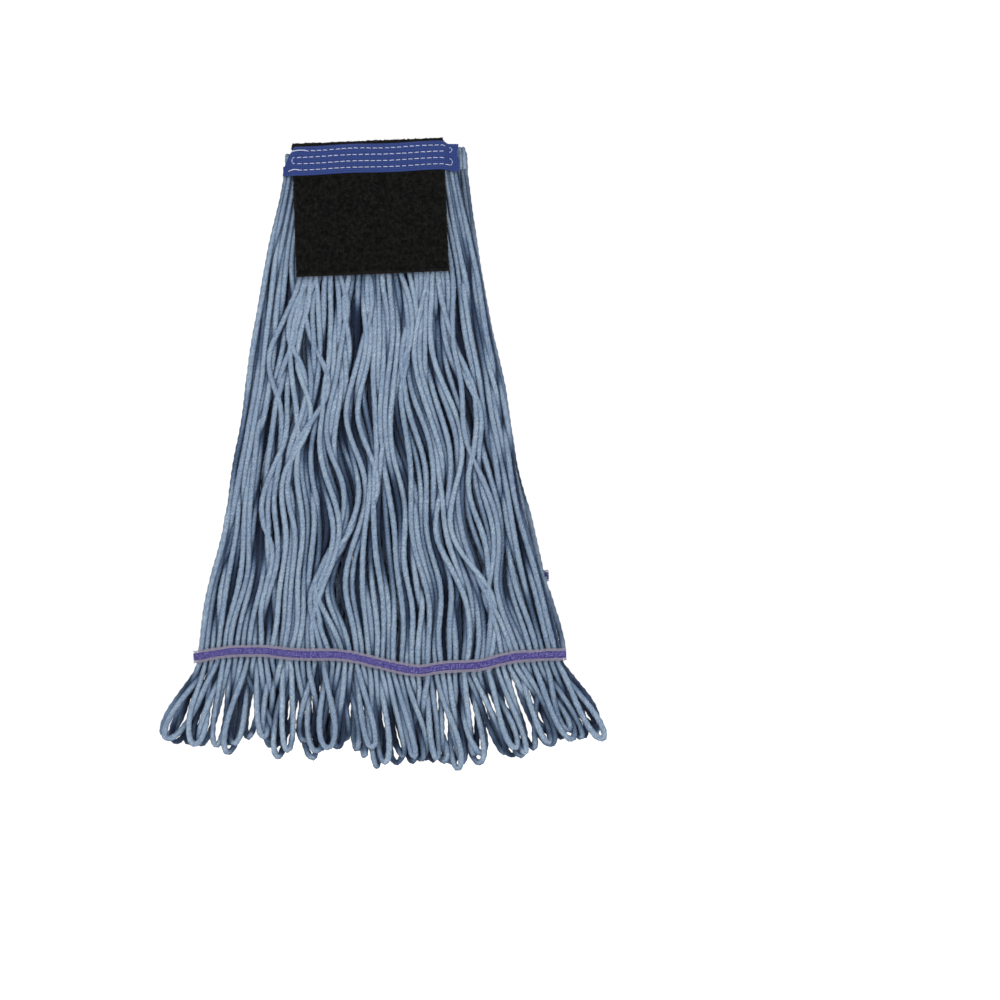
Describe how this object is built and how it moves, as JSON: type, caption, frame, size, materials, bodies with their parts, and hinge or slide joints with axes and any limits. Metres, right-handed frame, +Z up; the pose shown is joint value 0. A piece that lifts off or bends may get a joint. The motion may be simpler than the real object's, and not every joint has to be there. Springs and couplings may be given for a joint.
{
  "type": "string mop",
  "caption": "Looped-end wet mop head: blue yarn folded over a stitched narrow headband, black scrub pad under the band, violet tail bands above a looped fringe",
  "frame": {"origin": "middle of the slot inside the folded headband, at the slot's top, where the head bears on the handle's clamp bar", "axes": "the head hangs as it does on a handle: +Z up, the front half and its scrub flap face -Y, the headband runs along X"},
  "size_m": [0.3769, 0.118, 0.5302],
  "materials": {
    "headband_tape": "woven polyester tape, matt, royal blue",
    "inner_tape": "woven polyester tape, matt, royal blue",
    "headband_thread": "spun sewing thread, off-white",
    "scrub_pad": "coarse non-woven fibre pad, black, matt",
    "yarn": "soft low-twist four-ply cotton blend yarn, dusty blue",
    "tail_tape": "narrow woven tape, violet",
    "tail_thread": "spun sewing thread, mauve"
  },
  "bodies": {
    "headband": {"headband_outer_tape": "headband_tape", "headband_inner_tape": "inner_tape", "headband_thread": "headband_thread", "headband_yarn_fold": "yarn", "scrub_pad_crown": "scrub_pad"},
    "front_curtain": {"front_yarn_bundle_1": "yarn", "front_yarn_bundle_2": "yarn", "front_yarn_bundle_3": "yarn", "front_yarn_bundle_4": "yarn", "front_yarn_bundle_5": "yarn", "front_yarn_bundle_6": "yarn", "front_yarn_bundle_7": "yarn", "front_yarn_bundle_8": "yarn", "front_tail_tape": "tail_tape", "front_tail_thread_upper": "tail_thread", "front_tail_thread_lower": "tail_thread"},
    "front_fringe": {"front_loop_bundle_1": "yarn", "front_loop_bundle_2": "yarn", "front_loop_bundle_3": "yarn", "front_loop_bundle_4": "yarn", "front_loop_bundle_5": "yarn", "front_loop_bundle_6": "yarn", "front_loop_bundle_7": "yarn", "front_loop_bundle_8": "yarn"},
    "front_scrub_flap": {"scrub_pad_front_flap": "scrub_pad"},
    "rear_curtain": {"rear_yarn_bundle_1": "yarn", "rear_yarn_bundle_2": "yarn", "rear_yarn_bundle_3": "yarn", "rear_yarn_bundle_4": "yarn", "rear_yarn_bundle_5": "yarn", "rear_yarn_bundle_6": "yarn", "rear_yarn_bundle_7": "yarn", "rear_yarn_bundle_8": "yarn", "rear_tail_tape": "tail_tape", "rear_tail_thread_upper": "tail_thread", "rear_tail_thread_lower": "tail_thread"},
    "rear_fringe": {"rear_loop_bundle_1": "yarn", "rear_loop_bundle_2": "yarn", "rear_loop_bundle_3": "yarn", "rear_loop_bundle_4": "yarn", "rear_loop_bundle_5": "yarn", "rear_loop_bundle_6": "yarn", "rear_loop_bundle_7": "yarn", "rear_loop_bundle_8": "yarn"},
    "rear_scrub_flap": {"scrub_pad_rear_flap": "scrub_pad"}
  },
  "joints": [
    {"name": "front_curtain_swing", "type": "hinge", "parent": "headband", "child": "front_curtain", "pos_m": [0, -0.0268, -0.0098], "axis": [-1, 0, 0], "range_deg": [0, 95]},
    {"name": "front_flap_lift", "type": "hinge", "parent": "front_curtain", "child": "front_scrub_flap", "pos_m": [0, -0.0268, -0.0098], "axis": [-1, 0, 0], "range_deg": [0, 75]},
    {"name": "front_fringe_swing", "type": "hinge", "parent": "front_curtain", "child": "front_fringe", "pos_m": [0, -0.0425, -0.4252], "axis": [-1, 0, 0], "range_deg": [0, 60]},
    {"name": "rear_curtain_swing", "type": "hinge", "parent": "headband", "child": "rear_curtain", "pos_m": [0, 0.0268, -0.0098], "axis": [1, 0, 0], "range_deg": [0, 95]},
    {"name": "rear_flap_lift", "type": "hinge", "parent": "rear_curtain", "child": "rear_scrub_flap", "pos_m": [0, 0.0268, -0.0098], "axis": [1, 0, 0], "range_deg": [0, 75]},
    {"name": "rear_fringe_swing", "type": "hinge", "parent": "rear_curtain", "child": "rear_fringe", "pos_m": [0, 0.0425, -0.366], "axis": [1, 0, 0], "range_deg": [0, 60]}
  ]
}
